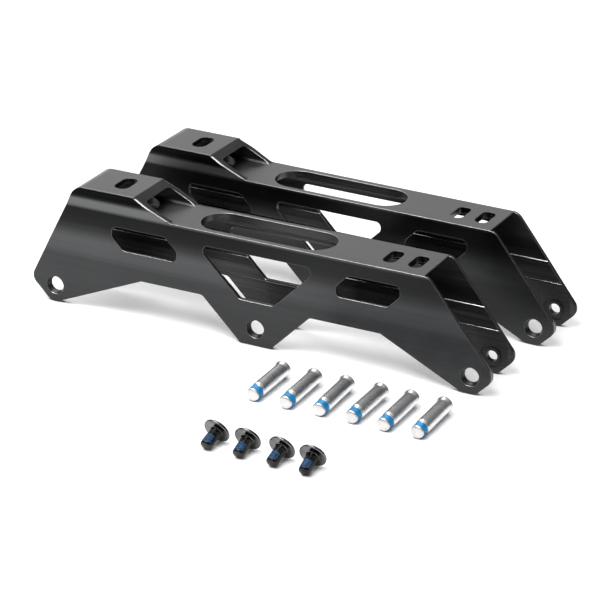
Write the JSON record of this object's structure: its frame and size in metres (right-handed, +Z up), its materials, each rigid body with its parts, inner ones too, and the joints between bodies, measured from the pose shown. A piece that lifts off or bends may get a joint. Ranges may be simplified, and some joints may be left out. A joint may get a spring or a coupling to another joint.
{
  "type": "inline skate frame",
  "caption": "Pair of black inline skate frames, each one channel-shaped extrusion with a raised heel platform, laid out with their loose wheel axles and mounting bolts.",
  "frame": {"origin": "on the floor that every piece rests on, in the middle of the area that the whole set covers", "axes": "+X from the heel end to the toe end of the frames, +Y from the loose pieces past the near frame to the far frame, +Z up"},
  "size_m": [0.2745, 0.2248, 0.0695],
  "materials": {
    "anodised_aluminium": "black anodised, satin",
    "axle_steel": "bright turned steel",
    "black_steel": "black oxide, slightly glossy",
    "threadlocker": "dried blue threadlocker"
  },
  "bodies": {
    "near_frame": {"near_frame": "anodised_aluminium"},
    "far_frame": {"far_frame": "anodised_aluminium"},
    "axle_1": {"axle_1": "axle_steel", "axle_1_threadlock": "threadlocker"},
    "axle_2": {"axle_2": "axle_steel", "axle_2_threadlock": "threadlocker"},
    "axle_3": {"axle_3": "axle_steel", "axle_3_threadlock": "threadlocker"},
    "axle_4": {"axle_4": "axle_steel", "axle_4_threadlock": "threadlocker"},
    "axle_5": {"axle_5": "axle_steel", "axle_5_threadlock": "threadlocker"},
    "axle_6": {"axle_6": "axle_steel", "axle_6_threadlock": "threadlocker"},
    "mount_bolt_1": {"mount_bolt_1": "black_steel", "mount_bolt_1_threadlock": "threadlocker"},
    "mount_bolt_2": {"mount_bolt_2": "black_steel", "mount_bolt_2_threadlock": "threadlocker"},
    "mount_bolt_3": {"mount_bolt_3": "black_steel", "mount_bolt_3_threadlock": "threadlocker"},
    "mount_bolt_4": {"mount_bolt_4": "black_steel", "mount_bolt_4_threadlock": "threadlocker"}
  },
  "joints": [
    {"name": "far_frame_lift", "type": "slide", "parent": "near_frame", "child": "far_frame", "axis": [0, 0, 1], "range_m": [0, 0.15]},
    {"name": "axle_1_lift", "type": "slide", "parent": "near_frame", "child": "axle_1", "axis": [0, 0, 1], "range_m": [0, 0.15]},
    {"name": "axle_2_lift", "type": "slide", "parent": "near_frame", "child": "axle_2", "axis": [0, 0, 1], "range_m": [0, 0.15]},
    {"name": "axle_3_lift", "type": "slide", "parent": "near_frame", "child": "axle_3", "axis": [0, 0, 1], "range_m": [0, 0.15]},
    {"name": "axle_4_lift", "type": "slide", "parent": "near_frame", "child": "axle_4", "axis": [0, 0, 1], "range_m": [0, 0.15]},
    {"name": "axle_5_lift", "type": "slide", "parent": "near_frame", "child": "axle_5", "axis": [0, 0, 1], "range_m": [0, 0.15]},
    {"name": "axle_6_lift", "type": "slide", "parent": "near_frame", "child": "axle_6", "axis": [0, 0, 1], "range_m": [0, 0.15]},
    {"name": "mount_bolt_1_lift", "type": "slide", "parent": "near_frame", "child": "mount_bolt_1", "axis": [0, 0, 1], "range_m": [0, 0.15]},
    {"name": "mount_bolt_2_lift", "type": "slide", "parent": "near_frame", "child": "mount_bolt_2", "axis": [0, 0, 1], "range_m": [0, 0.15]},
    {"name": "mount_bolt_3_lift", "type": "slide", "parent": "near_frame", "child": "mount_bolt_3", "axis": [0, 0, 1], "range_m": [0, 0.15]},
    {"name": "mount_bolt_4_lift", "type": "slide", "parent": "near_frame", "child": "mount_bolt_4", "axis": [0, 0, 1], "range_m": [0, 0.15]}
  ]
}
